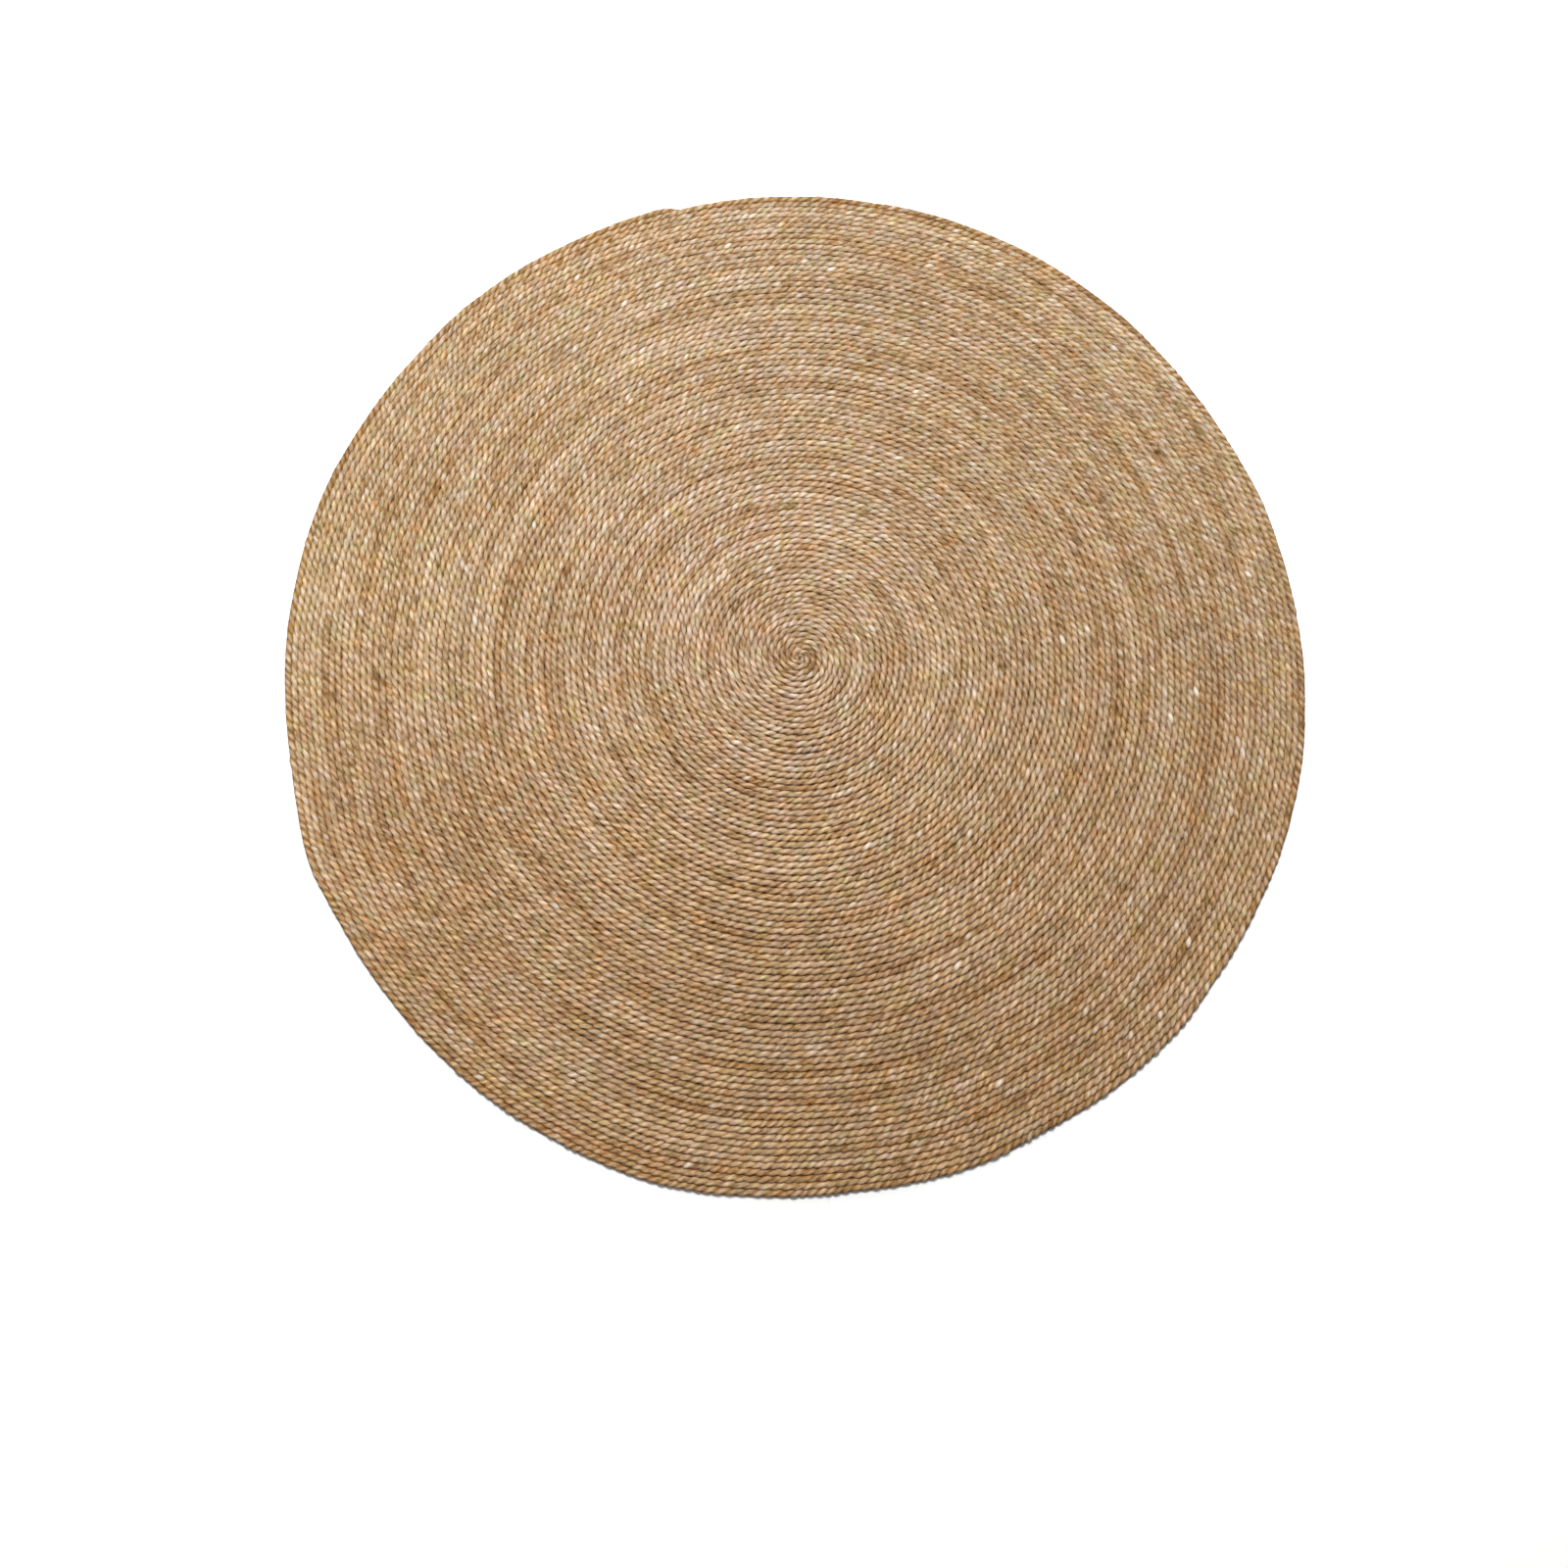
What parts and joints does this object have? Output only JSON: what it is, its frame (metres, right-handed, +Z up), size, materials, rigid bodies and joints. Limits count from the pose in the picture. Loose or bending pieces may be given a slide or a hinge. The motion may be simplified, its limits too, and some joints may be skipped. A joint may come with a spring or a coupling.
{
  "type": "round sisal rug",
  "caption": "Round flat floor rug made of twisted sisal rope wound in a spiral and sewn turn to turn, with a slightly uneven rim.",
  "frame": {"origin": "on the floor, under the middle of the rug's bounding box", "axes": "+Z up, through the rug's thickness; +X and +Y lie in the floor, and the free end of the rope is near +Y"},
  "size_m": [1.5018, 1.4938, 0.009],
  "materials": {
    "sisal_rope": "undyed twisted sisal rope, dry and matt with a faint silky sheen along the fibres; tan strands that vary from pale straw to golden brown, with dark brown gaps"
  },
  "bodies": {
    "root": {"coil_mat": "sisal_rope"}
  },
  "joints": []
}
